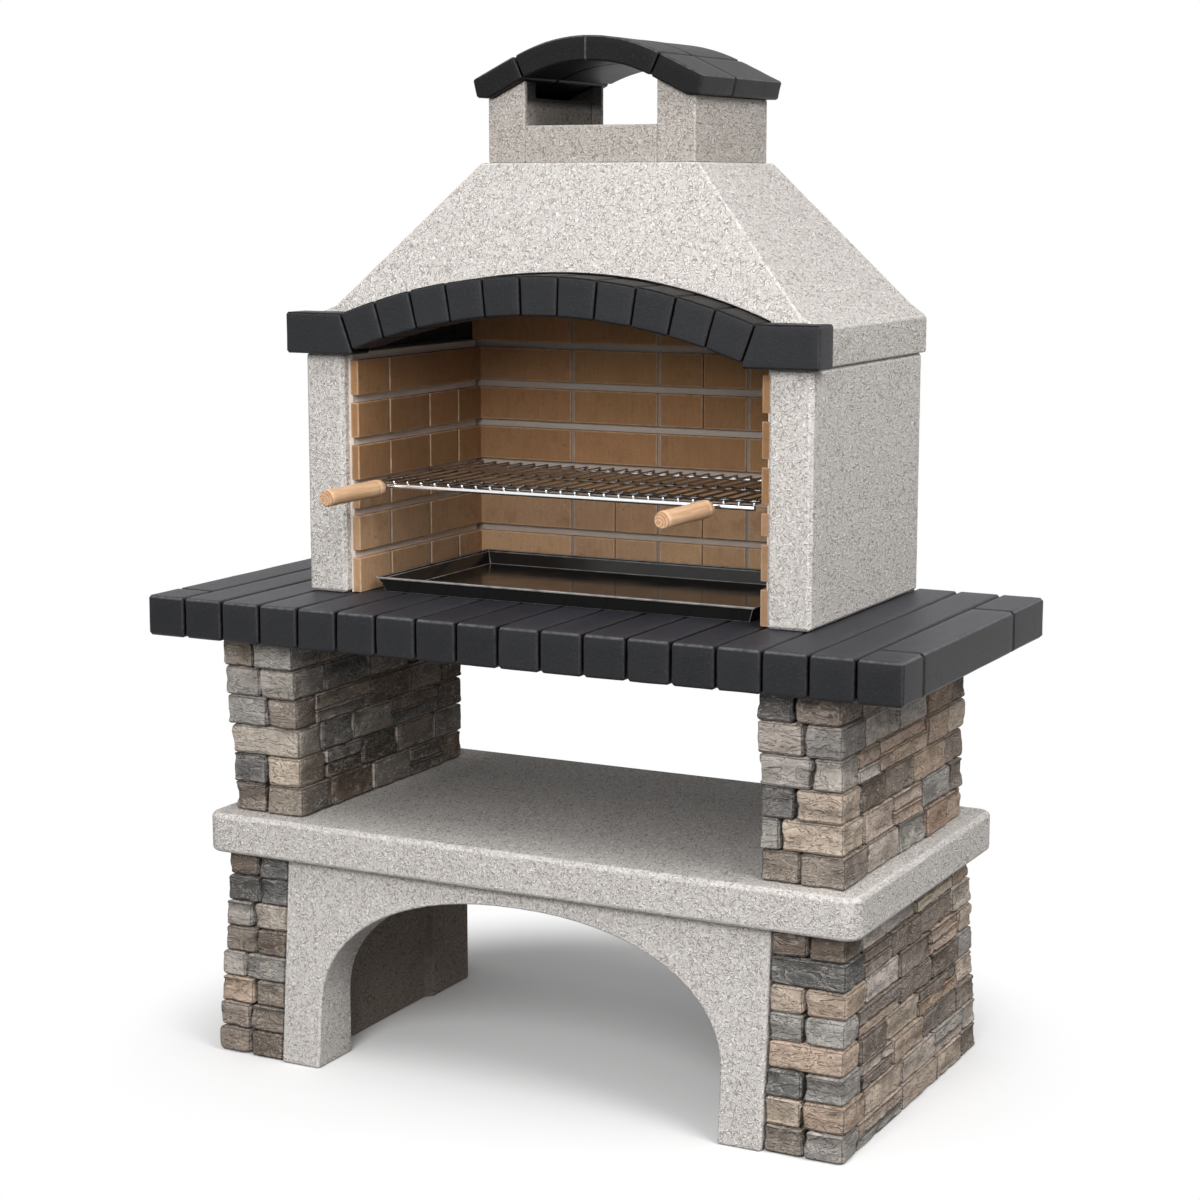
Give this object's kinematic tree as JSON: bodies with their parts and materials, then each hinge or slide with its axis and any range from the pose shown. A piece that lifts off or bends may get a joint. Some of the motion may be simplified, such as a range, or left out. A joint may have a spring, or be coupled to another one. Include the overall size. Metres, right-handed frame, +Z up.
{
  "type": "outdoor masonry barbecue",
  "caption": "Free-standing masonry barbecue with an arched base, stone walls, a plank worktop, a brick-lined firebox, a hood with a chimney, and a sliding grill and ember tray.",
  "frame": {"origin": "bottom centre of the bounding box, on the ground under the middle of the barbecue", "axes": "+Z up, -Y towards the cook at the front, +X to the right as seen from the front"},
  "size_m": [1.5, 0.75, 1.9017],
  "materials": {
    "concrete": "matte",
    "split_stone": "matte",
    "charcoal_block": "matte",
    "fire_brick": "matte",
    "mortar": "matte",
    "grill_steel": "satin",
    "grip_wood": "satin",
    "tray_steel": "satin"
  },
  "bodies": {
    "masonry": {"base_stones_left": "split_stone", "base_stones_right": "split_stone", "base_leaf_left": "concrete", "base_leaf_right": "concrete", "front_arch_panel": "concrete", "shelf": "concrete", "upper_stones_left": "split_stone", "upper_stones_right": "split_stone", "worktop_planks": "charcoal_block", "worktop_blocks_left": "charcoal_block", "worktop_blocks_right": "charcoal_block", "firebox_wall_left": "concrete", "firebox_wall_right": "concrete", "firebox_back_wall": "concrete", "mortar_left": "mortar", "mortar_right": "mortar", "mortar_back": "mortar", "bricks_left": "fire_brick", "bricks_right": "fire_brick", "bricks_back": "fire_brick", "lintel_block_left": "charcoal_block", "lintel_block_right": "charcoal_block", "lintel_wedges": "charcoal_block", "hood": "concrete", "chimney_side_left": "concrete", "chimney_side_right": "concrete", "chimney_sill_front": "concrete", "chimney_sill_back": "concrete", "cap_tiles_middle": "charcoal_block", "cap_tiles_left": "charcoal_block", "cap_tiles_right": "charcoal_block"},
    "grill": {"grill_front_bar": "grill_steel", "grill_cross_bars": "grill_steel", "grill_rods": "grill_steel", "grill_tang_left": "grill_steel", "grill_tang_right": "grill_steel", "grill_grip_left": "grip_wood", "grill_grip_right": "grip_wood"},
    "tray": {"tray_pan": "tray_steel", "tray_rim": "tray_steel"}
  },
  "joints": [
    {"name": "grill_slide", "type": "slide", "parent": "masonry", "child": "grill", "axis": [0, -1, 0], "range_m": [0, 0.25]},
    {"name": "tray_slide", "type": "slide", "parent": "masonry", "child": "tray", "axis": [0, -1, 0], "range_m": [0, 0.35]}
  ]
}
